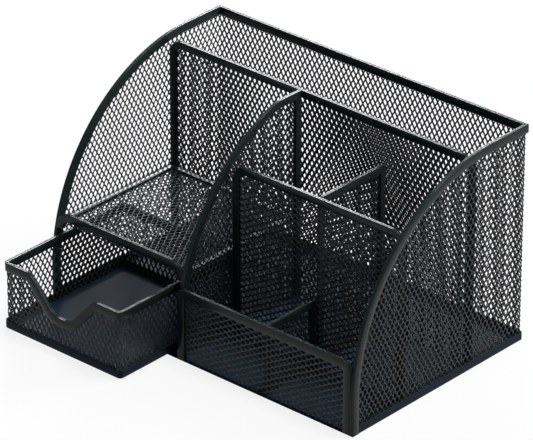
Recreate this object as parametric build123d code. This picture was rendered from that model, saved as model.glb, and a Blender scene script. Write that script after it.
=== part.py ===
from build123d import *
import os

# Pen stand of black steel mesh with one drawer, in millimetres.
#
# Every wall is a flat panel of expanded mesh whose cut edges sit in a folded steel strip, and all of
# them stand in a shallow pressed tray. The drawer is a second tray with four mesh walls, and it slides
# on the floor of the stand, below the shelf. It is modelled pulled out by drawer_open.
#
# +X is to the right, +Y to the rear, +Z up. The origin is the centre of the footprint of the stand, on
# the desk. The meshes have openings three to six times as large as real ones.

os.makedirs("parts", exist_ok=True)

# ---------- the stand from outside ----------
stand_width = 220.0          # left to right
stand_depth = 140.0          # front to rear
stand_height = 130.0         # desk to the top of the rear wall
side_radius = 110.0          # arc of the side walls, tangent to their front and to their top
left_wall_setback = 3.2      # front edge of the left wall behind that of the right one

# ---------- sheet, mesh and binding strip ----------
sheet = 0.6                  # trays and strips
mesh_thickness = 0.8
seat_gap = 0.1               # mesh to each leaf of the strip that holds it
wall_strip_width = 5.0       # how far the strip reaches over the outer walls
divider_strip_width = 4.4    # and over the dividers
tray_rim_height = 4.8        # upturned edge of both trays

# ---------- dividers, measured from the left and front faces of the stand ----------
arc_divider_place = 97.2     # left face to the middle of the divider beside the drawer
rear_divider_place = 98.0    # front face to the middle of the divider before the rear slot
cross_divider_place = 42.4   # front face to the middle of the lower divider
short_divider_place = 157.4  # left face to the middle of the two short dividers
divider_drop = 4.0           # top of a divider below the side wall beside it
divider_corner = 9.0         # outer radius of a divider's top corners
short_divider_drop = 1.0     # top of a short divider below the divider or panel it joins
short_divider_corner = 3.0
arc_divider_blend = 25.0     # radius where the arc runs into the level top

# ---------- front panel ----------
front_panel_height = 43.5
front_panel_corner = 6.0
front_panel_overlap = 0.3    # how far its left leg stands before the drawer bay

# ---------- shelf over the drawer ----------
shelf_height = 47.8          # desk to the middle of the shelf mesh
shelf_lip_height = 7.2       # shelf mesh to the top of its front lip
shelf_lip_corner = 11.0      # outer radius of the lip's corners
shelf_lip_width = 4.8        # strip on the lip
shelf_lip_setback = 5.0      # front face of the stand to the lip
shelf_lip_foot = 3.0         # how far the ends of the lip's strip reach below the shelf mesh

# ---------- drawer ----------
drawer_open = 38.0           # how far the modelled drawer is pulled out
drawer_left_gap = 1.2        # drawer to the left wall
drawer_right_gap = 6.0       # drawer to the leg of the front panel
drawer_rear_gap = 2.9        # closed drawer to the rear divider
drawer_head_gap = 5.8        # drawer to the shelf
drawer_floor_gap = 0.3       # running clearance on the floor of the stand
scoop_width = 46.0           # finger scoop in the drawer's front, at the top edge
scoop_floor = 12.0           # its width at the bottom, before rounding
scoop_depth = 19.5
scoop_shoulder = 9.0         # radius at the top edge
scoop_heel = 9.0             # radius at the bottom

# ---------- openings of the mesh ----------
tall_cell_long = 32.0        # long diagonal of a diamond in the tall walls and the shelf, with its strand
tall_cell_short = 20.0
tall_strand = 2.6            # width of a strand
low_cell_long = 20.0         # the same in the front panel, the divider behind it and the drawer
low_cell_short = 11.5
low_strand = 1.7
mesh_margin = 0.8            # solid mesh beside a strip

# ---------- places that follow ----------
strip = 2 * (sheet + seat_gap) + mesh_thickness         # whole thickness of a strip on its mesh
left, right = -stand_width / 2, stand_width / 2
front, rear = -stand_depth / 2, stand_depth / 2
floor = sheet                                           # top of the floor of the stand
spring = stand_height - side_radius                     # where the arc leaves the front edge
side_face = sheet + seat_gap + mesh_thickness           # outer face of a wall to the inside of its mesh
beyond = stand_depth                                    # how far outlines run past an edge without strip
tall_net = (tall_cell_long, tall_cell_short, tall_strand)
low_net = (low_cell_long, low_cell_short, low_strand)

arc_x = left + arc_divider_place
rear_y = front + rear_divider_place
cross_y = front + cross_divider_place
short_x = left + short_divider_place


def arc_height(y):
    """Height of the side wall's edge at the depth y."""
    run = min(max(side_radius - (y - front), 0), side_radius)
    return spring + (side_radius ** 2 - run ** 2) ** 0.5


rear_top = arc_height(rear_y) - divider_drop
cross_top = arc_height(cross_y) - divider_drop


# ---------- outlines, drawn as (along the wall, height) ----------
def block(u0, u1, v0, v1):
    """Rectangle between two corners."""
    return Pos((u0 + u1) / 2, (v0 + v1) / 2) * Rectangle(u1 - u0, v1 - v0)


def side_outline(u_start, u_end):
    """Side wall from below the floor up its front edge, round the arc and back to u_end."""
    low = -beyond
    crest = u_start + side_radius
    edges = [
        Line((u_start, low), (u_start, spring)),
        CenterArc((crest, spring), side_radius, 180, -90),
        Polyline((crest, stand_height), (u_end, stand_height), (u_end, low), (u_start, low)),
    ]
    return make_face(Curve() + edges)


def upright_outline(u0, u1, top, corner):
    """Panel that runs below the floor, with two rounded top corners."""
    panel = block(u0, u1, -beyond, top)
    return fillet(panel.vertices().group_by(Axis.Y)[-1], corner)


def arc_divider_outline():
    """The side wall's arc, cut off level with the rear divider and behind the front panel."""
    inside = block(front + strip, rear_y - strip / 2, -beyond, rear_top)
    outline = side_outline(front, rear) & inside
    kink = outline.vertices().group_by(Axis.Y)[-1].sort_by(Axis.X)[0]
    return fillet(kink, arc_divider_blend)


def scooped_outline(u0, u1, top):
    """Drawer front, far wider and deeper than the drawer, with the finger scoop in its top edge."""
    middle = (u0 + u1) / 2
    scoop = [
        (middle - scoop_width / 2, top),
        (middle - scoop_floor / 2, top - scoop_depth),
        (middle + scoop_floor / 2, top - scoop_depth),
        (middle + scoop_width / 2, top),
    ]
    ends = [(u1 + beyond, top), (u1 + beyond, -beyond), (u0 - beyond, -beyond), (u0 - beyond, top)]
    outline = make_face(Polyline(*scoop, *ends, close=True))

    def nearest(point):
        return outline.vertices().sort_by_distance((*point, 0))[0]

    outline = fillet([nearest(scoop[0]), nearest(scoop[3])], scoop_shoulder)
    return fillet([nearest(scoop[1]), nearest(scoop[2])], scoop_heel)


# ---------- a mesh panel and its binding strip ----------
def diamonds(window, net, long_up):
    """Staggered rows of whole mesh openings, drawn out a little so that they fill a window."""
    cell_long, cell_short, strand = net
    wide, high = (cell_short, cell_long) if long_up else (cell_long, cell_short)
    box = window.bounding_box()
    columns = max(1, round(box.size.X / wide))
    rows = max(1, round(box.size.Y / high))
    wide, high = box.size.X / columns, box.size.Y / rows
    slope = (wide ** 2 + high ** 2) ** 0.5
    half_u = wide / 2 - strand * slope / high / 2
    half_v = high / 2 - strand * slope / wide / 2
    openings = []
    for i in range(1, 2 * columns):
        for j in range(1, 2 * rows):
            if (i + j) % 2:
                continue
            u, v = box.min.X + i * wide / 2, box.min.Y + j * high / 2
            corners = [(u - half_u, v), (u, v - half_v), (u + half_u, v), (u, v + half_v)]
            if all(window.is_inside((*corner, 0)) for corner in corners):
                openings.append(Wire(Polyline(*corners, close=True).edges()))
    return openings


def slab(face, thickness):
    """Sheet of even thickness on both sides of its drawing plane."""
    return extrude(face, thickness / 2, both=True)


def inset(face, distance):
    return offset(face, -distance, kind=Kind.INTERSECTION)


def mesh_sheet(outline, kept, strip_width, net=tall_net, long_up=True):
    """Mesh panel: its edges end inside the strip, and its openings start beside the strip."""
    sheet_face = (inset(outline, sheet + seat_gap) & kept).faces()[0]
    window = inset((inset(outline, strip_width) & kept).faces()[0], mesh_margin).faces()[0]
    holed = Face(sheet_face.outer_wire(), diamonds(window, net, long_up))
    return slab(holed, mesh_thickness)


def binding_strip(outline, kept, width):
    """Strip folded over the edge of a panel: two leaves, closed along the edge."""
    band = (outline - inset(outline, width)) & kept
    slot = inset(outline, sheet) & kept
    return slab(band, strip) - slab(slot, mesh_thickness + 2 * seat_gap)


def facing_front(y):
    """Drawing plane of a wall that runs left to right."""
    return Plane((0, y, 0), x_dir=(1, 0, 0), z_dir=(0, -1, 0))


def facing_side(x):
    """Drawing plane of a wall that runs front to rear."""
    return Plane((x, 0, 0), x_dir=(0, 1, 0), z_dir=(1, 0, 0))


def save(node, solid):
    solid.label = node
    export_step(solid, f"parts/{node}.step")


def mitre(solid, corner, outward):
    """Cut a strip off at the plane that halves the angle of a corner; outward points to the far side."""
    return split(solid, bisect_by=Plane(corner, z_dir=outward), keep=Keep.BOTTOM)


# ---------- trays ----------
def tray(x0, x1, y0, y1, z0, open_front, left_notch=0, right_notch=0):
    """Pressed tray: a floor with upturned edges. An open front has no edge, and notches for two legs."""
    floor_box = Pos((x0 + x1) / 2, (y0 + y1) / 2, z0 + sheet / 2) * Box(x1 - x0, y1 - y0, sheet)
    height = tray_rim_height - sheet
    z_middle = z0 + sheet + height / 2
    runs = [
        (x0, x0 + sheet, y0 + left_notch, y1),
        (x1 - sheet, x1, y0 + right_notch, y1),
        (x0, x1, y1 - sheet, y1),
    ]
    if not open_front:
        runs.append((x0, x1, y0, y0 + sheet))
    body = floor_box
    for a0, a1, b0, b1 in runs:
        body += Pos((a0 + a1) / 2, (b0 + b1) / 2, z_middle) * Box(a1 - a0, b1 - b0, height)
    return body


leg_notch = wall_strip_width + seat_gap
save("base_tray", tray(left, right, front, rear, 0, True, left_wall_setback + leg_notch, leg_notch))

# ---------- outer walls ----------
side_kept = block(front, rear - side_face, floor, stand_height)
side_strip_kept = block(front, rear, floor, stand_height)
side_walls = {
    "left": (left + strip / 2, front + left_wall_setback, -1),
    "right": (right - strip / 2, front, 1),
}
rear_mesh_kept = block(left + sheet + seat_gap, right - sheet - seat_gap, floor, stand_height)
rear_strip_kept = block(left, right, floor, stand_height)
rear_outline = block(left - beyond, right + beyond, -beyond, stand_height)

for name, (x, start, outward) in side_walls.items():
    outline = side_outline(start, rear + beyond)
    save(f"{name}_wall_mesh", facing_side(x) * mesh_sheet(outline, side_kept, wall_strip_width))
    rim = facing_side(x) * binding_strip(outline, side_strip_kept, wall_strip_width)
    corner = (outward * stand_width / 2, rear, 0)
    save(f"{name}_wall_rim", mitre(rim, corner, (-outward, 1, 0)))

rear_plane = facing_front(rear - strip / 2)
save("rear_wall_mesh", rear_plane * mesh_sheet(rear_outline, rear_mesh_kept, wall_strip_width))
rear_rim = rear_plane * binding_strip(rear_outline, rear_strip_kept, wall_strip_width)
rear_rim = mitre(rear_rim, (left, rear, 0), (-1, -1, 0))
save("rear_wall_rim", mitre(rear_rim, (right, rear, 0), (1, -1, 0)))


# ---------- dividers and front panel ----------
def divider(node, plane, outline, strip_width, net=tall_net, long_up=True):
    """Mesh panel that stands on the floor of the stand, and its strip."""
    kept = block(-stand_width, stand_width, floor, stand_height)
    save(f"{node}_mesh", plane * mesh_sheet(outline, kept, strip_width, net, long_up))
    save(f"{node}_rim", plane * binding_strip(outline, kept, strip_width))


inner_left, inner_right = left + side_face, right - side_face
beside_arc = arc_x + strip / 2

divider("rear_divider", facing_front(rear_y),
        upright_outline(inner_left, inner_right, rear_top, divider_corner), divider_strip_width)
divider("arc_divider", facing_side(arc_x), arc_divider_outline(), divider_strip_width)
divider("cross_divider", facing_front(cross_y),
        upright_outline(beside_arc, inner_right, cross_top, divider_corner), divider_strip_width,
        long_up=False)
divider("pen_divider", facing_side(short_x),
        upright_outline(cross_y + strip / 2, rear_y - strip / 2, cross_top - short_divider_drop,
                        short_divider_corner), divider_strip_width)
divider("front_divider", facing_side(short_x),
        upright_outline(front + strip, cross_y - strip / 2, front_panel_height - short_divider_drop,
                        short_divider_corner), divider_strip_width, low_net)

panel_left = arc_x - strip / 2 - front_panel_overlap
divider("front_panel", facing_front(front + strip / 2),
        upright_outline(panel_left, right - strip, front_panel_height, front_panel_corner),
        wall_strip_width, low_net, long_up=False)

# ---------- shelf: one mesh sheet with a lip bent up at its front ----------
shelf_left, shelf_right = left + strip, arc_x - strip / 2
lip_y = front + shelf_lip_setback + strip / 2
shelf_front = lip_y + strip / 2
shelf_rear = rear_y - strip / 2
lip_top = shelf_height + shelf_lip_height

shelf_plane = Plane((0, 0, shelf_height))
shelf_outline = block(shelf_left, shelf_right, shelf_front - beyond, shelf_rear)
shelf_kept = block(shelf_left, shelf_right, shelf_front, shelf_rear)
lip_outline = upright_outline(shelf_left, shelf_right, lip_top, shelf_lip_corner)
lip_foot = shelf_height - shelf_lip_foot
lip_kept = block(shelf_left, shelf_right, lip_foot, lip_top)

bend_start = max(shelf_lip_corner, shelf_lip_width) + seat_gap     # clear of the strip's corners
lip_mesh_bottom = shelf_height - mesh_thickness / 2
lip_mesh_kept = block(shelf_left, shelf_right, lip_mesh_bottom, lip_top)
lip_mesh = slab(inset(lip_outline, sheet + seat_gap) & lip_mesh_kept, mesh_thickness)
bend = block(shelf_left + bend_start, shelf_right - bend_start, lip_y, shelf_front)
shelf_flat = mesh_sheet(shelf_outline, shelf_kept, divider_strip_width)
shelf_mesh = shelf_plane * (shelf_flat + slab(bend, mesh_thickness)) + facing_front(lip_y) * lip_mesh
save("shelf_mesh", shelf_mesh)
save("shelf_edge_strip", shelf_plane * binding_strip(shelf_outline, shelf_kept, divider_strip_width))
save("shelf_lip_rim", facing_front(lip_y) * binding_strip(lip_outline, lip_kept, shelf_lip_width))

# ---------- drawer ----------
drawer_left = left + strip + drawer_left_gap
drawer_right = panel_left - drawer_right_gap
drawer_front = front - drawer_open
drawer_rear = shelf_rear - drawer_rear_gap - drawer_open
drawer_bottom = floor + drawer_floor_gap
drawer_top = shelf_height - strip / 2 - drawer_head_gap
drawer_floor = drawer_bottom + sheet

save("drawer_tray", tray(drawer_left, drawer_right, drawer_front, drawer_rear, drawer_bottom, False))

front_outline = scooped_outline(drawer_left, drawer_right, drawer_top)
plain_outline = block(-stand_width - beyond, stand_width + beyond, -beyond, drawer_top)
clear = sheet + seat_gap                                # outer face of a wall to its mesh
across_mesh = block(drawer_left + clear, drawer_right - clear, drawer_floor, drawer_top)
across_strip = block(drawer_left, drawer_right, drawer_floor, drawer_top)
along_mesh = block(drawer_front + side_face, drawer_rear - side_face, drawer_floor, drawer_top)
along_strip = block(drawer_front, drawer_rear, drawer_floor, drawer_top)

drawer_walls = [
    ("front", facing_front(drawer_front + strip / 2), front_outline, across_mesh, across_strip),
    ("rear", facing_front(drawer_rear - strip / 2), plain_outline, across_mesh, across_strip),
    ("left", facing_side(drawer_left + strip / 2), plain_outline, along_mesh, along_strip),
    ("right", facing_side(drawer_right - strip / 2), plain_outline, along_mesh, along_strip),
]
drawer_corners = {
    (-1, -1): (drawer_left, drawer_front, 0),
    (1, -1): (drawer_right, drawer_front, 0),
    (-1, 1): (drawer_left, drawer_rear, 0),
    (1, 1): (drawer_right, drawer_rear, 0),
}
wall_sides = {"front": (0, -1), "rear": (0, 1), "left": (-1, 0), "right": (1, 0)}

for name, plane, outline, mesh_kept, strip_kept in drawer_walls:
    save(f"drawer_{name}_mesh", plane * mesh_sheet(outline, mesh_kept, wall_strip_width, low_net))
    rim = plane * binding_strip(outline, strip_kept, wall_strip_width)
    side_x, side_y = wall_sides[name]
    for (corner_x, corner_y), place in drawer_corners.items():
        if side_x == corner_x:
            rim = mitre(rim, place, (-corner_x, corner_y, 0))
        if side_y == corner_y:
            rim = mitre(rim, place, (corner_x, -corner_y, 0))
    save(f"drawer_{name}_rim", rim)
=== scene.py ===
# %% [markdown]
# # Pen stand with drawer
# A desk organiser made of expanded steel mesh. Every wall is a panel of mesh whose cut edges sit in
# a folded steel strip, and the walls stand in a shallow pressed tray. A small drawer of the same
# make slides out below a shelf. All of it has one finish, a satin black powder coat.
#
# The CAD model holds the real sizes, but its mesh is much coarser than the real one, and its strips
# have sharp edges. This lesson makes the mesh at its real pitch and gives the strips and trays
# their rolled edges, because small bright lines along rolled edges are what make painted steel look
# real.

# %% Load the frame
import math

import bmesh
import bpy
import numpy as np
from mathutils import Matrix, Vector


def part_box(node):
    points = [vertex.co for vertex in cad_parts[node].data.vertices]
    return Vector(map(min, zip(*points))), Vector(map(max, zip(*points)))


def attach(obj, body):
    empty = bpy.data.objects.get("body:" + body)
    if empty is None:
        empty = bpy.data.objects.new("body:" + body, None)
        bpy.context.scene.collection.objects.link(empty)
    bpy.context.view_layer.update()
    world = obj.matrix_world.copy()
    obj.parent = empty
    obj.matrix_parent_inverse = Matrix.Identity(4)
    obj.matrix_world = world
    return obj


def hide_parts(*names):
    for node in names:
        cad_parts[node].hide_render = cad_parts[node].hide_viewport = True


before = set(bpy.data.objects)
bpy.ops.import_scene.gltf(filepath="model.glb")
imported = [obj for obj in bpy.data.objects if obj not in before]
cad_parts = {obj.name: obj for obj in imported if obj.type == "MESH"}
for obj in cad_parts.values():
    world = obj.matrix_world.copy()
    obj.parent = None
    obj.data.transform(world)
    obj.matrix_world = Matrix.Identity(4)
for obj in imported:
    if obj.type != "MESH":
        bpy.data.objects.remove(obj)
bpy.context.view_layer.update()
mm = 0.001

# %% [markdown]
# ## Camera
# The photograph was taken from the right, above and far away, so its edges hardly converge. The
# view could be matched by eye, but on so many straight edges an error of one degree shows. So a
# camera was fitted to the corners of the real object, which gave a place, two angles, a slight roll
# and a long focal length. A camera looks along its own -Z, so its +Z points back at it.

# %% Place the camera
IMAGE_WIDTH = 533                                    # pixels
camera_place = Vector((1.5062452, -1.7018379, 1.2683862))
azimuth, elevation, roll = 0.7287, 0.4882, 0.0012    # radians
focal_pixels = 4788.6
sensor_width = 36                                    # millimetres, Blender's usual sensor
farthest_seen = 50                                   # metres

back = Vector((math.sin(azimuth) * math.cos(elevation), -math.cos(azimuth) * math.cos(elevation),
               math.sin(elevation)))
level = Vector((math.cos(azimuth), math.sin(azimuth), 0))
over = back.cross(level)
right = level * math.cos(roll) + over * math.sin(roll)
up = over * math.cos(roll) - level * math.sin(roll)

camera = bpy.data.objects.new("camera", bpy.data.cameras.new("camera"))
bpy.context.scene.collection.objects.link(camera)
turned = Matrix((right, up, back)).transposed().to_4x4()
camera.matrix_world = Matrix.Translation(camera_place) @ turned
camera.data.sensor_width = sensor_width
camera.data.lens = focal_pixels * sensor_width / IMAGE_WIDTH
camera.data.clip_end = farthest_seen
bpy.context.scene.camera = camera
print("camera at", camera_place, "lens", round(camera.data.lens, 1), "mm")

# %% [markdown]
# ## Nodes from Python
# Both the mesh and the finishes are made of nodes. They could be added and linked one by one, but
# then a line of arithmetic takes a page. Two small classes keep it readable: Wire is one output of
# a node, and arithmetic on it adds Math nodes. Tree adds any other node from its type, the values
# or wires of its sockets, and its settings.

# %% A wire with arithmetic
class Wire:
    """One output of a node. Arithmetic on it adds Math nodes to its tree."""

    def __init__(self, tree, node, output=0):
        self.tree, self.node, self.socket = tree, node, node.outputs[output]

    def __getitem__(self, output):
        return Wire(self.tree, self.node, output)

    def __add__(self, other):
        return self.tree.math("ADD", self, other)

    def __sub__(self, other):
        return self.tree.math("SUBTRACT", self, other)

    def __rsub__(self, other):
        return self.tree.math("SUBTRACT", other, self)

    def __mul__(self, other):
        return self.tree.math("MULTIPLY", self, other)

    def __truediv__(self, other):
        return self.tree.math("DIVIDE", self, other)

    def __abs__(self):
        return self.tree.math("ABSOLUTE", self)

    def __lt__(self, other):
        return self.tree.math("LESS_THAN", self, other)

    __radd__ = __add__
    __rmul__ = __mul__


print("a wire can be added, subtracted, multiplied, divided and compared")


# %% A tree that adds nodes
class Tree:
    """A node tree that is filled from Python."""

    def __init__(self, tree):
        self.tree = tree

    def add(self, kind, sockets=None, **settings):
        node = self.tree.nodes.new(kind)
        for name, value in settings.items():
            setattr(node, name, value)
        for name, value in (sockets or {}).items():
            for one in value if isinstance(value, list) else [value]:
                if isinstance(one, Wire):
                    self.tree.links.new(one.socket, node.inputs[name])
                else:
                    node.inputs[name].default_value = one
        return Wire(self, node) if node.outputs else node

    def math(self, operation, *values):
        return self.add("ShaderNodeMath", dict(enumerate(values)), operation=operation)

    def vector(self, x, y, z=0.0):
        return self.add("ShaderNodeCombineXYZ", {"X": x, "Y": y, "Z": z})

    def split(self, vector):
        parts = self.add("ShaderNodeSeparateXYZ", {0: vector})
        return parts["X"], parts["Y"], parts["Z"]


print("node classes ready")

# %% [markdown]
# ## Powder coat
# The steel is dusted with charged black powder, which melts in an oven to a satin skin with a faint
# orange peel. The peel could be modelled, but it is a few thousandths of a millimetre deep, so a
# Bump node on a fine noise is enough. A coarse noise varies colour and roughness, as handling does.
# The mesh, the strips and the sheet differ in tint, in roughness and in gloss. The sheet's tint is
# bluer than the others only as painted bluish light, since the real trays have the same black coat.
# All three are dark, so that most of what is seen is the reflection of a lamp, as on the real
# object.

# %% Make the finishes
peel_size, peel_depth, peel_strength = 0.7 * mm, 0.006 * mm, 0.5
patch_size = 25 * mm
darkest, palest = 0.8, 1.25          # how far the patches change the colour
roughness_range = 0.16               # and how far they change the roughness


def powder_coat(name, color, roughness, gloss):
    """Satin powder coat of a colour, with the middle of its roughness and its specular level."""
    material = bpy.data.materials.new(name)
    material.use_nodes = True
    tree = Tree(material.node_tree)
    shader = material.node_tree.nodes["Principled BSDF"]
    shader.inputs["Specular IOR Level"].default_value = gloss
    place = tree.add("ShaderNodeTexCoord")["Object"]
    peel = tree.add("ShaderNodeTexNoise", {"Vector": place, "Scale": 1 / peel_size, "Detail": 2.0})
    patches = tree.add("ShaderNodeTexNoise", {
        "Vector": place, "Scale": 1 / patch_size, "Detail": 3.0})
    mix = tree.add("ShaderNodeMix", {
        "Factor": patches["Fac"],
        "A": (*[darkest * c for c in color], 1),
        "B": (*[palest * c for c in color], 1)}, data_type="RGBA")
    rough = patches["Fac"] * roughness_range + (roughness - roughness_range / 2)
    bump = tree.add("ShaderNodeBump", {
        "Height": peel["Fac"], "Strength": peel_strength, "Distance": peel_depth})
    links = material.node_tree.links
    links.new(mix["Result"].socket, shader.inputs["Base Color"])
    links.new(rough.socket, shader.inputs["Roughness"])
    links.new(bump.socket, shader.inputs["Normal"])
    material.diffuse_color = (*color, 1)
    return material


strip_coat = powder_coat("black_strip_coat", (0.016, 0.025, 0.024), roughness=0.22, gloss=0.14)
mesh_coat = powder_coat("black_mesh_coat", (0.034, 0.041, 0.043), roughness=0.24, gloss=0.16)
# The sheet's bluer tint is painted bluish light on the trays; the real coat is as black as the
# rest.
blue_lit_sheet_coat = powder_coat("black_sheet_coat", (0.012, 0.023, 0.037), roughness=0.46, gloss=0.055)
print("finishes:", [m.name for m in (strip_coat, mesh_coat, blue_lit_sheet_coat)])

# %% [markdown]
# ## Sheets that are drawn flat and then folded
# The outer wall is one sheet of mesh folded at the two rear corners, and so are the drawer's walls.
# Each wall could be made by itself, but then the mesh would not meet at the corners. Drawing the
# sheet flat, as (along, up), and folding it afterwards keeps it unbroken. A fold is a path with
# sharp or rounded corners, held as stations: how far along the sheet, which point, and which way
# is out.

# %% Folds
class Fold:
    """Stands a flat drawing (along, up, out) on a path of corners. Out is left of the path."""

    bend_steps = 6        # parts of one rounded corner
    sharp = 1e-7          # metres of sheet over which a sharp corner turns

    def __init__(self, corners, rise=(0, 0, 1), bend=0.0):
        corners = [Vector(c) for c in corners]
        self.rise = np.array(rise, float)
        directions = [(b - a).normalized() for a, b in zip(corners, corners[1:])]
        start, length = corners[0], 0.0
        rows = [(0.0, start, self.outward(directions[0]))]
        for corner, before, after in zip(corners[1:], directions, directions[1:]):
            turn = before.angle(after)
            tangent = bend * math.tan(turn / 2)
            entry = corner - before * tangent
            length += (entry - start).length
            rows += self.corner_stations(length, entry, before, after, bend)
            length += bend * turn
            start = corner + after * tangent
        length += (corners[-1] - start).length
        rows.append((length, corners[-1], self.outward(directions[-1])))
        self.length = length
        self.stations = np.array([r[0] for r in rows])
        self.points = np.array([list(r[1]) for r in rows])
        self.outs = np.array([r[2] for r in rows])

    def outward(self, direction):
        return np.cross(self.rise, np.array(direction, float))

    def corner_stations(self, length, entry, before, after, bend):
        """Stations round one corner: a fan of them for a bend, three close ones for a crease."""
        if not bend:
            out_before, out_after = self.outward(before), self.outward(after)
            both = (out_before + out_after) / (1 + out_before @ out_after)
            return [(length - self.sharp, entry, out_before), (length, entry, both),
                    (length + self.sharp, entry, out_after)]
        side = (after - before * before.dot(after)).normalized()
        turn = before.angle(after)
        angles = [turn * i / self.bend_steps for i in range(self.bend_steps + 1)]
        return [(length + bend * a,
                 entry + bend * (math.sin(a) * before + (1 - math.cos(a)) * side),
                 self.outward(math.cos(a) * before + math.sin(a) * side)) for a in angles]

    def place(self, flat):
        """Places of flat points, given as rows of (along, up, out)."""
        flat = np.asarray(flat, float)

        def at(table):
            return np.stack([np.interp(flat[:, 0], self.stations, table[:, i])
                             for i in range(3)], 1)

        return at(self.points) + flat[:, 1:2] * self.rise + flat[:, 2:3] * at(self.outs)


test_fold = Fold([(0, 0, 0), (0, 1, 0), (1, 1, 0)])
print("a point 1.5 m along a folded sheet:", test_fold.place([[1.5, 0.2, 0.0]]))

# %% [markdown]
# ## Flat outlines
# The edge of a panel is a path with rounded corners, and the strip, the cut edge of the mesh and
# the foot of the strip all run beside it. A Bezier curve could hold the path, but a list of points
# is easier to measure and to move. rounded() turns corners into arcs, and inset() moves a path
# sideways.

# %% Paths with rounded corners
arc_sag = 0.015 * mm       # how far an arc's chords may lie inside it
fewest_steps = 4           # but no arc has fewer chords than this
no_turn = 1e-6             # radians
same_point = 1e-6          # metres


def rounded(corners):
    """Points of a flat path through corners (along, up, radius), with arcs for the corners."""
    flat = [np.array(c[:2], float) for c in corners]
    path = [flat[0]]
    for (a, b, c), radius in zip(zip(flat, flat[1:], flat[2:]), [c[2] for c in corners[1:-1]]):
        before, after = (b - a) / np.linalg.norm(b - a), (c - b) / np.linalg.norm(c - b)
        turn = math.acos(max(-1, min(1, before @ after)))
        if radius == 0 or turn < no_turn:
            path.append(b)
            continue
        side = after - before * (before @ after)
        side /= np.linalg.norm(side)
        entry = b - before * radius * math.tan(turn / 2)
        count = max(fewest_steps, math.ceil(turn / (2 * math.acos(1 - arc_sag / radius))))
        for angle in (turn * i / count for i in range(count + 1)):
            path.append(entry + radius * (math.sin(angle) * before + (1 - math.cos(angle)) * side))
    path.append(flat[-1])
    keep = [q for p, q in zip(path, path[1:]) if np.linalg.norm(q - p) > same_point]
    return np.array([path[0]] + keep)


def inset(path, distance):
    """The path moved to its right by a distance, with sharp corners."""
    steps = np.diff(path, axis=0)
    steps /= np.linalg.norm(steps, axis=1)[:, None]
    normals = np.stack([steps[:, 1], -steps[:, 0]], 1)
    before = np.vstack([normals[:1], normals])
    after = np.vstack([normals, normals[-1:]])
    mitre = (before + after) / (1 + np.sum(before * after, axis=1))[:, None]
    return path + distance * mitre


print("points round a 10 mm corner:", len(rounded([(0, 0, 0), (0, 1, 10 * mm), (1, 1, 0)])))

# %% [markdown]
# ## Real mesh by Geometry Nodes
# Expanded mesh is a sheet that is slit and pulled open. Its openings are diamonds with blunt ends,
# 6.1 by 3.5 mm from centre to centre, and the strands between them stand a little askew. A picture
# of mesh on a flat sheet is cheap, but it has no thickness, casts flat shadows and never glints.
# Here the strands are real, and Geometry Nodes repeat them.
#
# The tree makes one opening as a ring of eight faces, puts it on every point of a staggered grid
# near the drawing of the panel, joins the rings, pulls what sticks out back to the panel's edge,
# which the strip hides, and gives the sheet its thickness. The sizes are inputs, so one tree serves
# every panel.

# %% Start the mesh tree
mesh_tree = bpy.data.node_groups.new("expanded_mesh", "GeometryNodeTree")
mesh_tree.interface.new_socket("Panel", in_out="INPUT", socket_type="NodeSocketGeometry")
for name in ("Cell along", "Cell up", "Strand", "Thickness", "Blunt along", "Blunt up",
             "Tilt along", "Tilt up", "From", "To"):
    mesh_tree.interface.new_socket(name, in_out="INPUT", socket_type="NodeSocketFloat")
mesh_tree.interface.new_socket("Finish", in_out="INPUT", socket_type="NodeSocketMaterial")
mesh_tree.interface.new_socket("Mesh", in_out="OUTPUT", socket_type="NodeSocketGeometry")
print("inputs:", [item.name for item in mesh_tree.interface.items_tree if item.in_out == "INPUT"])

# %% [markdown]
# ## One opening
# The ring starts as a flat circle of eight points, pushed out to the diamond of one cell. Its face
# is extruded in place, and the new face is shrunk to the hole and deleted, which leaves the ring.
# The blunt ends come from the four points in the middle of the diamond's sides, which shrink less
# than its tips. The same step lifts one side of the hole and lowers the other, so that the strands
# lean as the pull of the press leaves them.

# %% Make one opening
def one_opening(tree, given):
    """Ring of eight faces: one cell of the mesh with its hole."""
    x, y, _ = tree.split(tree.add("GeometryNodeInputPosition"))
    half_x, half_y = given["Cell along"] / 2, given["Cell up"] / 2
    circle = tree.add("GeometryNodeMeshCircle", {"Vertices": 8}, fill_type="NGON")
    reach = abs(x) + abs(y)
    diamond = tree.add("GeometryNodeSetPosition", {
        "Geometry": circle, "Position": tree.vector(x / reach * half_x, y / reach * half_y)})
    cut = tree.add("GeometryNodeExtrudeMesh", {"Mesh": diamond, "Offset Scale": 0.0}, mode="FACES")

    # p and q run from -1 to 1 over the cell; at_tip is 1 at its tips and 0 half way between them
    p, q = x / half_x, y / half_y
    at_tip = 1 - abs(p) * abs(q) * 4
    side = tree.math("SQRT", half_x * half_x + half_y * half_y)
    hole_x = half_x - given["Strand"] / 2 * side / half_y
    hole_y = half_y - given["Strand"] / 2 * side / half_x
    lean_x = tree.math("MAXIMUM", tree.math("MINIMUM", p * 2, 1.0), -1.0)
    lean_y = tree.math("MAXIMUM", tree.math("MINIMUM", q * 2, 1.0), -1.0)
    hole = tree.add("GeometryNodeSetPosition", {
        "Geometry": cut["Mesh"], "Selection": cut["Top"], "Position": tree.vector(
            p * hole_x * (1 - given["Blunt along"] * at_tip),
            q * hole_y * (1 - given["Blunt up"] * at_tip),
            lean_x * given["Tilt along"] + lean_y * given["Tilt up"])})
    return tree.add("GeometryNodeDeleteGeometry", {"Geometry": hole, "Selection": cut["Top"]},
                    domain="FACE", mode="ONLY_FACE")


mesh_nodes = Tree(mesh_tree)
given = mesh_nodes.add("NodeGroupInput")
opening = one_opening(mesh_nodes, given)
print("one opening:", len(mesh_tree.nodes), "nodes")

# %% [markdown]
# ## A staggered grid of cells
# Every second row of diamonds is shifted by half a cell, like bricks. A Grid node gives whole
# numbers of columns and rows, and its points are then moved to their cells, counted from the
# panel's lower left corner, so that the pattern doesn't depend on how large the panel is.

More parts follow.
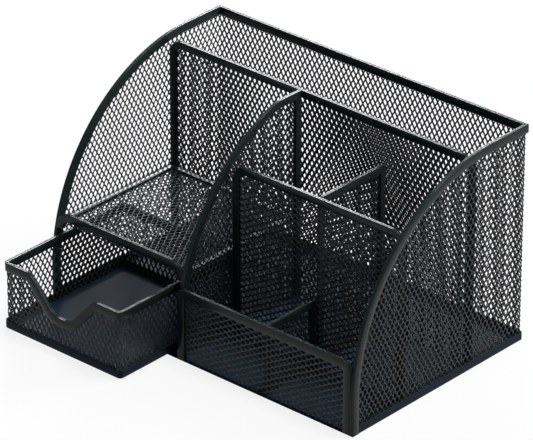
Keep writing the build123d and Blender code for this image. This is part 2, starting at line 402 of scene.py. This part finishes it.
# %% Lay out the cells
def staggered_cells(tree, given):
    """Points at the centres of the cells, over the box round the panel and a little past it."""
    x, y, _ = tree.split(tree.add("GeometryNodeInputPosition"))
    box = tree.add("GeometryNodeBoundBox", {"Geometry": given["Panel"]})
    low_x, low_y, _ = tree.split(box["Min"])
    high_x, high_y, _ = tree.split(box["Max"])
    row_height = given["Cell up"] / 2
    columns = tree.math("CEIL", (high_x - low_x) / given["Cell along"] + 2)
    rows = tree.math("CEIL", (high_y - low_y) / row_height + 2)
    grid = tree.add("GeometryNodeMeshGrid", {
        "Size X": columns - 1, "Size Y": rows - 1, "Vertices X": columns, "Vertices Y": rows})
    column = tree.math("ROUND", x + (columns - 1) / 2)
    row = tree.math("ROUND", y + (rows - 1) / 2)
    shift = tree.math("MODULO", row, 2.0) / 2
    return tree.add("GeometryNodeSetPosition", {"Geometry": grid, "Position": tree.vector(
        low_x + (column + shift) * given["Cell along"], low_y + row * row_height)})


cells = staggered_cells(mesh_nodes, given)
print("with the grid:", len(mesh_tree.nodes), "nodes")

# %% [markdown]
# ## From rings to a sheet
# A boolean with the panel's outline would cut the strands clean, but it is slow on thousands of
# openings and leaves slivers. The strip hides the cut edge anyway, so each point outside the panel
# is simply moved to the nearest point on it. Rings are kept on the panel and just beside it, and
# only between two places along the sheet, which lets one sheet be made in several pieces.

# %% Trim the sheet and give it thickness
beside = 1.5 * mm            # how far outside the panel a cell's centre may lie
cut_slack = 0.01 * mm        # keeps a cell whose centre is right on a cut
weld, edge_weld = 0.01 * mm, 0.02 * mm


def trimmed_sheet(tree, given, opening, cells):
    """Rings on the wanted cells, joined and pulled in to the panel."""
    x, y, z = tree.split(tree.add("GeometryNodeInputPosition"))
    nearest = tree.add("GeometryNodeProximity", {
        0: given["Panel"], "Sample Position": tree.vector(x, y)}, target_element="FACES")
    wanted = (nearest["Distance"] < beside) * (given["From"] < x + cut_slack) * (x < given["To"])
    rings = tree.add("GeometryNodeInstanceOnPoints", {
        "Points": cells, "Selection": wanted, "Instance": opening})
    lattice = tree.add("GeometryNodeMergeByDistance", {
        "Geometry": tree.add("GeometryNodeRealizeInstances", {0: rings}), "Distance": weld})
    edge_x, edge_y, _ = tree.split(nearest["Position"])
    trimmed = tree.add("GeometryNodeSetPosition", {
        "Geometry": lattice, "Position": tree.vector(edge_x, edge_y, z)})
    return tree.add("GeometryNodeMergeByDistance", {"Geometry": trimmed, "Distance": edge_weld})


def thickened(tree, given, sheet):
    """The sheet with its back face and an extruded front, centred on the drawing."""
    front = tree.add("GeometryNodeExtrudeMesh", {
        "Mesh": sheet, "Offset Scale": given["Thickness"], "Individual": False}, mode="FACES")
    rear = tree.add("GeometryNodeFlipFaces", {0: sheet})
    both = tree.add("GeometryNodeJoinGeometry", {0: [front["Mesh"], rear]})
    solid = tree.add("GeometryNodeMergeByDistance", {"Geometry": both, "Distance": weld})
    return tree.add("GeometryNodeSetPosition", {
        "Geometry": solid, "Offset": tree.vector(0.0, 0.0, given["Thickness"] * -0.5)})


steel = thickened(mesh_nodes, given, trimmed_sheet(mesh_nodes, given, opening, cells))
real = mesh_nodes.add("GeometryNodeRealizeInstances", {0: steel})
mesh_nodes.add("NodeGroupOutput", {0: mesh_nodes.add("GeometryNodeSetMaterial", {
    "Geometry": real, "Material": given["Finish"]})})
print("mesh tree:", len(mesh_tree.nodes), "nodes")

# %% [markdown]
# ## From a flat panel to a finished piece
# The tree needs only a flat face in the shape of the panel. The modifier could stay on the piece,
# but its points still have to be folded into place, so the result is taken as a plain mesh and the
# modifier is removed. Some panels have their diamonds on end and others lying down, and a sheet can
# be used with either side out, which decides whether its strands lean towards the light.

# %% A piece of the object
def new_piece(name, mesh, body, finish, replaced):
    """Put a finished mesh in the scene as a piece of the object."""
    piece = bpy.data.objects.new(name, mesh)
    bpy.context.scene.collection.objects.link(piece)
    if not mesh.materials:
        mesh.materials.append(finish)
    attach(piece, body)
    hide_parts(*replaced)
    return piece


def run_mesh_tree(name, outline, values):
    """Plain mesh that the tree makes from a flat outline and the values of its inputs."""
    flat = bpy.data.meshes.new(name + "_flat")
    flat.from_pydata([(u, v, 0) for u, v in outline], [], [list(range(len(outline)))])
    board = bpy.data.objects.new(name + "_flat", flat)
    bpy.context.scene.collection.objects.link(board)
    modifier = board.modifiers.new("mesh", "NODES")
    modifier.node_group = mesh_tree
    for item in mesh_tree.interface.items_tree:
        if item.item_type == "SOCKET" and item.name in values:
            modifier[item.identifier] = values[item.name]
    depsgraph = bpy.context.evaluated_depsgraph_get()
    mesh = bpy.data.meshes.new_from_object(board.evaluated_get(depsgraph))
    board.modifiers.remove(modifier)
    bpy.data.objects.remove(board)
    return mesh


print("a piece rides on a body, has a slot and replaces CAD nodes")

# %% Panels of mesh
long_pitch, short_pitch = 6.1 * mm, 3.5 * mm
strand_width, strand_thickness = 0.72 * mm, 0.40 * mm
strand_tilt = -0.13 * mm         # how far one side of a hole is pushed back, and the other forward
blunt_end, sharp_end = 0.14, 0.02
shortest_edge = 0.005 * mm
whole_sheet = (-1.0, 9.0)        # metres, from before a sheet's start to past its end


def expanded_panel(name, fold, outline, body, replaced, long_up=True, side=1, span=whole_sheet,
                   fit=None):
    """Mesh panel from a flat outline. Long_up stands the diamonds on end, and a side of -1 turns
    the sheet over. Span is the part of the sheet that is made, and fit makes whole cells of a
    length that closes on itself."""
    along, rising = (short_pitch, long_pitch) if long_up else (long_pitch, short_pitch)
    if fit:
        along = fit / round(fit / along)
    tilt = strand_tilt * side
    mesh = run_mesh_tree(name, outline, {
        "Cell along": along, "Cell up": rising, "Strand": strand_width,
        "Thickness": strand_thickness,
        "Blunt along": sharp_end if long_up else blunt_end,
        "Blunt up": blunt_end if long_up else sharp_end,
        "Tilt along": tilt if long_up else 0.0, "Tilt up": 0.0 if long_up else tilt,
        "From": span[0], "To": span[1], "Finish": mesh_coat})

    rough = bmesh.new()
    rough.from_mesh(mesh)
    bmesh.ops.dissolve_degenerate(rough, dist=shortest_edge, edges=rough.edges)
    rough.to_mesh(mesh)
    rough.free()
    places = np.empty(len(mesh.vertices) * 3)
    mesh.vertices.foreach_get("co", places)
    mesh.vertices.foreach_set("co", fold.place(places.reshape(-1, 3)).ravel())
    mesh.update()
    mesh.shade_smooth()
    mesh.name = name
    print(name, "faces", len(mesh.polygons))
    return new_piece(name, mesh, body, mesh_coat, replaced)


print("strands, mm:", [round(size / mm, 2) for size in (strand_width, strand_thickness)])

# %% [markdown]
# ## Binding strips
# A strip is a band of thin steel rolled over the edge of a panel. Its top isn't flat: the rolls
# press a faint groove between two round shoulders, which show as two light lines in the photograph.
# Blender's Curve to Mesh could sweep the profile, but it narrows it at sharp corners, so the sweep
# is a few lines of Python that mitre it. The profile is drawn once, as (depth from the edge, out
# from the middle), for one side, and mirrored. Its slot is open at the foot, for the mesh.

# %% The section of a strip
strip_thickness, leaf = 2.2 * mm, 0.6 * mm
shoulder = [(0.30, 0.0), (0.10, 0.14), (0.01, 0.26), (0.0, 0.36), (0.0, 0.74), (0.04, 0.92),
            (0.16, 1.05), (0.38, 1.10)]        # mm, from the groove over the round to the side
hem, hem_bulge, hem_round = 0.22 * mm, 0.05 * mm, 0.10 * mm
slot_wall, slot_end = 1.1 * mm, 0.85 * mm      # depths where the slot's walls and its root end


def strip_profile(width):
    """Section of a folded strip as a ring of (depth, out)."""
    half = strip_thickness / 2
    inner = half - leaf
    side = [(depth * mm, out * mm) for depth, out in shoulder] + [
        (width - hem, half), (width - hem_bulge, half - hem_round), (width, half - leaf / 2),
        (width - hem_bulge, inner + hem_round), (width - hem, inner), (slot_wall, inner),
        (slot_end, 0.0)]
    return side + [(depth, -out) for depth, out in side[-2:0:-1]]


print("points of a 5 mm strip's section:", len(strip_profile(5 * mm)))

# %% [markdown]
# ## Sweeping a section
# A section becomes a solid when a copy of it stands at every point of the path, and neighbouring
# copies are joined by faces. The path gets extra points where the sheet is folded, or the strip
# would cut the corner. Where a bend of the path is tighter than the strip is wide, the inner edge
# would run back over itself, so a strip may be given the room that its panel has, and keeps to it.

# %% Sweep a section
level_run = 1e-9         # metres: a step with less run than this goes straight up
at_end = 1e-6            # share of a step that still counts as its end
distinct = 3e-8          # metres between points that stay apart, less than Fold.sharp
double = 0.001 * mm      # points nearer than this are merged


def marked(path, fold):
    """The path with a point added wherever it crosses a station of the fold."""
    marks = [s for s in fold.stations if path[:, 0].min() < s < path[:, 0].max()]
    fine = [path[0]]
    for a, b in zip(path, path[1:]):
        run = b[0] - a[0]
        if abs(run) > level_run:
            shares = sorted((m - a[0]) / run for m in marks)
            fine += [a + (b - a) * t for t in shares if at_end < t < 1 - at_end]
        fine.append(b)
    keep = [q for p, q in zip(fine, fine[1:]) if np.linalg.norm(q - p) > distinct]
    return np.array([fine[0]] + keep)


def skin(shape, rings, capped):
    """Add faces between neighbouring rings of points, and over both ends if they are capped."""
    rings = [[shape.verts.new(p) for p in ring] for ring in rings]
    for ring, following in zip(rings, rings[1:]):
        for j, vert in enumerate(ring):
            k = (j + 1) % len(ring)
            shape.faces.new((vert, ring[k], following[k], following[j]))
    if capped:
        shape.faces.new(rings[0])
        shape.faces.new(rings[-1][::-1])


def swept(path, profile, fold, closed=False, room=None):
    """Solid of a section swept along a flat path. Room is the panel's (start, end, top)."""
    path = marked(path, fold)
    lines = []
    for depth, out in profile:
        line = inset(path, depth)
        if room:
            start, end, top = room
            line[:, 0] = np.clip(line[:, 0], start + depth, end - depth)
            line[:, 1] = np.minimum(line[:, 1], top - depth)
        lines.append(fold.place(np.column_stack([line, np.full(len(line), out)])))
    shape = bmesh.new()
    skin(shape, np.stack(lines, 1), not closed)
    bmesh.ops.remove_doubles(shape, verts=shape.verts, dist=double)
    bmesh.ops.dissolve_degenerate(shape, dist=double, edges=shape.edges)
    return shape


test_path = rounded([(0, 0, 0), (0.5, 0, 0), (0.5, 0.5, 0)])
test_strip = swept(test_path, strip_profile(5 * mm), test_fold)
print("faces of a strip with one corner:", len(test_strip.faces))
test_strip.free()

# %% [markdown]
# ## Shading
# Smooth shading blends the light over neighbouring faces, which suits the rolled edges, and would
# smear it over the ends of a strip. Edges that turn by more than a crease angle are marked sharp,
# which does what an Edge Split modifier does, but keeps each solid in one piece.

# %% Finish a swept piece
def shaded_mesh(name, shape, crease):
    """Mesh of a shape with faces pointing outwards, smooth but for edges over the crease angle."""
    bmesh.ops.recalc_face_normals(shape, faces=shape.faces)
    mesh = bpy.data.meshes.new(name)
    shape.to_mesh(mesh)
    shape.free()
    mesh.shade_smooth()
    mesh.set_sharp_from_angle(angle=math.radians(crease))
    print(name, "faces", len(mesh.polygons))
    return mesh


def strip(name, fold, path, width, body, replaced, closed=False, room=None):
    """Binding strip along the edge of a panel."""
    shape = swept(path, strip_profile(width), fold, closed, room)
    mesh = shaded_mesh(name, shape, crease=50)
    return new_piece(name, mesh, body, strip_coat, replaced)


print("a strip is", round(strip_thickness / mm, 2), "mm thick")

# %% [markdown]
# ## Outer wall
# One sheet of mesh makes the left, rear and right walls. Its outline starts at the left front foot,
# runs up, round an arc of 110 mm, level along the top, and down again at the right. The mesh stops
# 0.7 mm inside the strip's edge. Made whole, it would be one very large mesh, so it is made in
# three pieces, cut between cells at the folds. The left wall's front edge stands a little further
# back than the right one's, and the CAD strips say how far.

# %% Make the outer wall
stand_low, stand_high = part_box("base_tray")
wall_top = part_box("rear_wall_rim")[1].z
wall_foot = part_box("left_wall_rim")[0].z
wall_middle = strip_thickness / 2
side_radius = 110 * mm
seat = 0.7 * mm
wall_strip_width, divider_strip_width = 5.0 * mm, 4.4 * mm

left, right_side = stand_low.x + wall_middle, stand_high.x - wall_middle
left_front, right_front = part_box("left_wall_rim")[0].y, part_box("right_wall_rim")[0].y
wall_rear = stand_high.y - wall_middle
outer_fold = Fold([(left, left_front, 0), (left, wall_rear, 0), (right_side, wall_rear, 0),
                   (right_side, right_front, 0)])
outer_path = rounded([(0, wall_foot, 0), (0, wall_top, side_radius),
                      (outer_fold.length, wall_top, side_radius),
                      (outer_fold.length, wall_foot, 0)])
cuts = (whole_sheet[0], wall_rear - left_front, outer_fold.length - (wall_rear - right_front),
        whole_sheet[1])
for name, start, end in zip(("left", "rear", "right"), cuts, cuts[1:]):
    expanded_panel(f"{name}_wall_net", outer_fold, inset(outer_path, seat), "stand",
                   [f"{name}_wall_mesh"], span=(start, end))
strip("outer_binding", outer_fold, outer_path, wall_strip_width, "stand",
      ["left_wall_rim", "rear_wall_rim", "right_wall_rim"])

# %% [markdown]
# ## Dividers and front panel
# Each divider is a flat panel that stands on the tray, bound along both sides and its top. They
# could be placed by numbers, but the CAD strips already stand where they belong, so their boxes
# give the places and sizes. The front panel and the cross divider behind it are cut the other way
# from the sheet, with their diamonds lying down, and stand with its other side out.

# %% Make the upright panels
def upright(node, corner, facing, long_up=True, side=1, width=divider_strip_width):
    """A bound panel with two rounded top corners, in the place of a CAD panel."""
    low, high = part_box(node + "_rim")
    middle = (low + high) / 2
    if facing == "front":
        fold, length = Fold([(low.x, middle.y, 0), (high.x, middle.y, 0)]), high.x - low.x
    else:
        fold, length = Fold([(middle.x, low.y, 0), (middle.x, high.y, 0)]), high.y - low.y
    path = rounded([(0, low.z, 0), (0, high.z, corner), (length, high.z, corner),
                    (length, low.z, 0)])
    inner = rounded([(seat, low.z, 0), (seat, high.z - seat, corner - seat),
                     (length - seat, high.z - seat, corner - seat), (length - seat, low.z, 0)])
    expanded_panel(node + "_net", fold, inner, "stand", [node + "_mesh"], long_up, side)
    strip(node + "_binding", fold, path, width, "stand", [node + "_rim"],
          room=(0, length, high.z))


wide_corner, panel_corner, small_corner = 9 * mm, 6 * mm, 3 * mm
upright("rear_divider", wide_corner, "front")
upright("cross_divider", wide_corner, "front", long_up=False, side=-1)
upright("pen_divider", small_corner, "side")
upright("front_divider", small_corner, "side")
upright("front_panel", panel_corner, "front", long_up=False, side=-1, width=wall_strip_width)

# %% [markdown]
# ## Divider beside the drawer
# Its edge follows the arc of the side walls and runs out level at the rear divider, with a softer
# bend where the two meet. A curve drawn by eye would bulge beside the walls' arc, so the bend is
# worked out: it is the circle that touches the arc from inside and touches the level top.

# %% Make the arc divider
low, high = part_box("arc_divider_rim")
blend = 25 * mm
arc_steps, blend_steps = 32, 8
arc_centre = np.array([stand_low.y + side_radius - low.y, wall_top - side_radius])
length, level_top = high.y - low.y, high.z
bend_up = level_top - blend - arc_centre[1]
bend_back = math.sqrt((side_radius - blend) ** 2 - bend_up ** 2)
bend_centre = arc_centre + np.array([-bend_back, bend_up])
foot_angle = math.acos(-arc_centre[0] / side_radius)
meet_angle = math.atan2(bend_up, -bend_back)


def arc(centre, radius, first, last, count):
    angles = np.linspace(first, last, count)
    return [centre + radius * np.array([math.cos(a), math.sin(a)]) for a in angles]


arc_path = np.array(
    [np.array([0, low.z])]
    + arc(arc_centre, side_radius, foot_angle, meet_angle, arc_steps)
    + arc(bend_centre, blend, meet_angle, math.pi / 2, blend_steps)[1:]
    + [np.array([length, level_top]), np.array([length, low.z])])
arc_x = (low.x + high.x) / 2
arc_fold = Fold([(arc_x, low.y, 0), (arc_x, high.y, 0)])
expanded_panel("arc_divider_net", arc_fold, inset(arc_path, seat), "stand", ["arc_divider_mesh"])
strip("arc_divider_binding", arc_fold, arc_path, divider_strip_width, "stand",
      ["arc_divider_rim"])

# %% [markdown]
# ## Shelf
# The shelf is one sheet of mesh that turns up at its front into a low lip. A flat strip binds its
# other three edges, and an arched strip stands on the lip. The same fold serves here, lying down:
# its path runs forward and then up, and the sheet's width is its rise. The arched strip bends over
# its whole height, so its bend has to end just above its feet, or the sweep would turn back.

# %% Make the shelf
low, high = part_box("shelf_edge_strip")
lip_low, lip_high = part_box("shelf_lip_rim")
shelf_z, lip_y = (low.z + high.z) / 2, (lip_low.y + lip_high.y) / 2
lip_corner, lip_width, lip_crease = 11 * mm, 4.8 * mm, 0.8 * mm
foot_height = 0.1 * mm         # what stays straight of the lip's strip below its bend
shelf_fold = Fold([(0, high.y, shelf_z), (0, lip_y, shelf_z), (0, lip_y, lip_high.z)],
                  rise=(1, 0, 0), bend=lip_crease)
shelf_end = shelf_fold.length - seat
shelf_outline = rounded([
    (seat, low.x + seat, 0), (seat, high.x - seat, 0),
    (shelf_end, high.x - seat, lip_corner - seat), (shelf_end, low.x + seat, lip_corner - seat),
    (seat, low.x + seat, 0)])[:-1]
expanded_panel("shelf_net", shelf_fold, shelf_outline, "stand", ["shelf_mesh"], long_up=False,
               side=-1)

flat_fold = Fold([(0, high.y, shelf_z), (0, low.y, shelf_z)], rise=(1, 0, 0))
depth = high.y - low.y
strip("shelf_edge_binding", flat_fold, rounded([
    (depth, low.x, 0), (0, low.x, 0), (0, high.x, 0), (depth, high.x, 0)]),
    divider_strip_width, "stand", ["shelf_edge_strip"])

lip_fold = Fold([(lip_low.x, lip_y, 0), (lip_high.x, lip_y, 0)])
lip_length = lip_high.x - lip_low.x
lip_bend = lip_high.z - lip_low.z - foot_height
strip("shelf_lip_binding", lip_fold, rounded([
    (0, lip_low.z, 0), (0, lip_high.z, lip_bend), (lip_length, lip_high.z, lip_bend),
    (lip_length, lip_low.z, 0)]), lip_width, "stand", ["shelf_lip_rim"])

# %% [markdown]
# ## Drawer
# The four walls are one sheet, folded round the tray and closed at the middle of the rear wall. The
# strip on its top dips into the finger scoop at the front. On the flat sheet the scoop is a plain
# path with four rounded corners, which is far simpler than cutting it from a finished box. The
# middle of the front wall lies half way along.

# %% Make the drawer
low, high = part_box("drawer_tray")
drawer_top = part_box("drawer_rear_rim")[1].z
drawer_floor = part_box("drawer_rear_mesh")[0].z
drawer_bend = 1.9 * mm
scoop_half, scoop_floor_half, scoop_depth, scoop_bend = 23 * mm, 6 * mm, 19.5 * mm, 9 * mm
seam = 0.1 * mm                # the last column of cells is the first one over again

x0, x1 = low.x + wall_middle, high.x - wall_middle
y0, y1 = low.y + wall_middle, high.y - wall_middle
middle = (x0 + x1) / 2
drawer_fold = Fold([(middle, y1, 0), (x1, y1, 0), (x1, y0, 0), (x0, y0, 0), (x0, y1, 0),
                    (middle, y1, 0)], bend=drawer_bend)
whole, half = drawer_fold.length, drawer_fold.length / 2
scoop_low = drawer_top - scoop_depth
scoop = [(half - scoop_half, drawer_top, scoop_bend),
         (half - scoop_floor_half, scoop_low, scoop_bend),
         (half + scoop_floor_half, scoop_low, scoop_bend),
         (half + scoop_half, drawer_top, scoop_bend)]
drawer_path = rounded([(0, drawer_top, 0)] + scoop + [(whole, drawer_top, 0)])
drawer_outline = [tuple(p) for p in inset(drawer_path, seat)] + [
    (whole, drawer_floor), (0, drawer_floor)]

walls = ("front", "rear", "left", "right")
expanded_panel("drawer_net", drawer_fold, drawer_outline, "drawer",
               [f"drawer_{w}_mesh" for w in walls], span=(0.0, whole - seam), fit=whole)
strip("drawer_binding", drawer_fold, drawer_path, wall_strip_width, "drawer",
      [f"drawer_{w}_rim" for w in walls], closed=True)

# %% [markdown]
# ## Trays
# The stand and the drawer each stand in a pressed tray of thin sheet: a flat floor, and an edge
# that turns up and runs round the corners in a tight bend. The CAD trays have square edges, and a
# Bevel on them would round the thin sheet unevenly. So the edge is a section swept along a fold,
# with a round foot and rounded lips, and the floor fills the inside of the same fold. The stand's
# tray is open at the front, where its edge ends at the legs of the outer wall's strip.

# %% Press the trays
sheet_gauge = 0.6 * mm
tray_foot = [(0.35, 0.30), (0.12, 0.20), (0.03, 0.0), (0.03, -0.30)]     # mm, as (up, out)
lip_round = 0.15 * mm


def tray_edge(rim):
    """Section of a tray's edge as a ring of (up, out)."""
    half = sheet_gauge / 2
    return [(up * mm, out * mm) for up, out in tray_foot] + [
        (rim - lip_round, -half), (rim, lip_round - half), (rim, half - lip_round),
        (rim - lip_round, half)]


def pressed_tray(node, body, starts, corner):
    """Tray in the place of a CAD tray. Starts say where its edge begins at the left and the right,
    and a tray without them has an edge all round."""
    low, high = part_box(node)
    half = sheet_gauge / 2
    x0, x1, y0, y1 = low.x + half, high.x - half, low.y + half, high.y - half
    middle = (x0 + x1) / 2
    if starts:
        path = [(x0, starts[0]), (x0, y1), (x1, y1), (x1, starts[1])]
        front_edge = [(high.x, starts[1]), (high.x, low.y), (low.x, low.y), (low.x, starts[0])]
    else:
        path = [(middle, y1), (x1, y1), (x1, y0), (x0, y0), (x0, y1), (middle, y1)]
        front_edge = []
    fold = Fold([(x, y, low.z) for x, y in path], bend=corner - half)

    shape = bmesh.new()
    section = tray_edge(high.z - low.z)
    skin(shape, [fold.place([(s, up, out) for up, out in section]) for s in fold.stations],
         capped=bool(starts))
    bmesh.ops.remove_doubles(shape, verts=shape.verts, dist=double)
    outline = [tuple(p[:2]) for p in fold.points[:None if starts else -1]] + front_edge
    skin(shape, [[(x, y, z) for x, y in outline] for z in (low.z, low.z + sheet_gauge)],
         capped=True)
    mesh = shaded_mesh(node + "_pressed", shape, crease=35)
    return new_piece(mesh.name, mesh, body, blue_lit_sheet_coat, [node])


leg_gap = 0.1 * mm
leg_depth = wall_strip_width + leg_gap
pressed_tray("base_tray", "stand", (left_front + leg_depth, right_front + leg_depth),
             corner=1.2 * mm)
pressed_tray("drawer_tray", "drawer", None, corner=2.4 * mm)

# %% [markdown]
# ## Floor
# The floor is plain pale paper. More light would make it white, but it would wash out the black
# steel too. So most of its brightness is a plain white that only the camera, glossy and
# transmission rays see, and the rest is a matt grey that catches the soft shadow. All other rays
# find a dark floor, which keeps the underside of the object as dark as in the photograph.

# %% Lay the floor
floor_half = 12.0                      # metres
floor_grey, seen_grey = 0.15, 0.5      # for all rays, and what is added where the floor is seen
plain_white = 0.85                     # share of plain white where the floor is seen

floor_mesh = bpy.data.meshes.new("floor")
floor_mesh.from_pydata([(-floor_half, -floor_half, 0), (floor_half, -floor_half, 0),
                        (floor_half, floor_half, 0), (-floor_half, floor_half, 0)],
                       [], [(0, 1, 2, 3)])
floor_plane = bpy.data.objects.new("floor", floor_mesh)
bpy.context.scene.collection.objects.link(floor_plane)

paper = bpy.data.materials.new("paper")
paper.use_nodes = True
paper.node_tree.nodes.clear()
tree = Tree(paper.node_tree)
rays = tree.add("ShaderNodeLightPath")
seen = tree.math("MINIMUM", rays["Is Camera Ray"] + rays["Is Glossy Ray"]
                 + rays["Is Transmission Ray"], 1.0)
grey = seen * seen_grey + floor_grey
matt = tree.add("ShaderNodeBsdfDiffuse", {
    "Color": tree.add("ShaderNodeCombineColor", {0: grey, 1: grey, 2: grey})})
white = tree.add("ShaderNodeEmission", {"Color": (1, 1, 1, 1), "Strength": 1.0})
tree.add("ShaderNodeOutputMaterial", {
    "Surface": tree.add("ShaderNodeMixShader", {0: seen * plain_white, 1: matt, 2: white})})
floor_mesh.materials.append(paper)
print("floor:", floor_plane.name, "with", len(paper.node_tree.nodes), "nodes")

# %% [markdown]
# ## Light
# Black steel shows its shape by what it mirrors. One large soft light would do for a pale object,
# but here the photograph's light lines and glints ask for smaller ones in the right places: at the
# left behind, at the right behind, and almost overhead. A faint bluish one in front keeps the
# drawer's front from going black. A weak white world fills the rest.

# %% Light the scene
aimed_at = Vector((0, 0, 0.05))
world_strength = 0.1


def soft_box(name, place, width, height, watts, color=(1, 1, 1)):
    """Rectangular lamp that points at the object. Sizes and places are in metres."""
    lamp = bpy.data.lights.new(name, "AREA")
    lamp.shape, lamp.size, lamp.size_y, lamp.energy = "RECTANGLE", width, height, watts
    lamp.color = color
    holder = bpy.data.objects.new(name, lamp)
    bpy.context.scene.collection.objects.link(holder)
    turned = (aimed_at - Vector(place)).to_track_quat("-Z", "Y").to_matrix().to_4x4()
    holder.matrix_world = Matrix.Translation(place) @ turned
    print(name, watts, "W")


soft_box("left_light", (-0.89, 0.93, 0.78), width=0.45, height=0.3, watts=18)
soft_box("right_light", (0.61, 0.75, 1.08), width=0.5, height=0.35, watts=10)
soft_box("top_light", (0.30, 0.15, 1.42), width=0.35, height=0.35, watts=18)
soft_box("front_light", (-0.6, -1.2, 0.5), width=0.6, height=0.6, watts=0.8,
         color=(0.5, 0.75, 1.0))

world = bpy.data.worlds.new("studio")
bpy.context.scene.world = world
world.use_nodes = True
background = world.node_tree.nodes["Background"].inputs
background["Color"].default_value = (1, 1, 1, 1)
background["Strength"].default_value = world_strength
bpy.context.scene.view_settings.view_transform = "Standard"
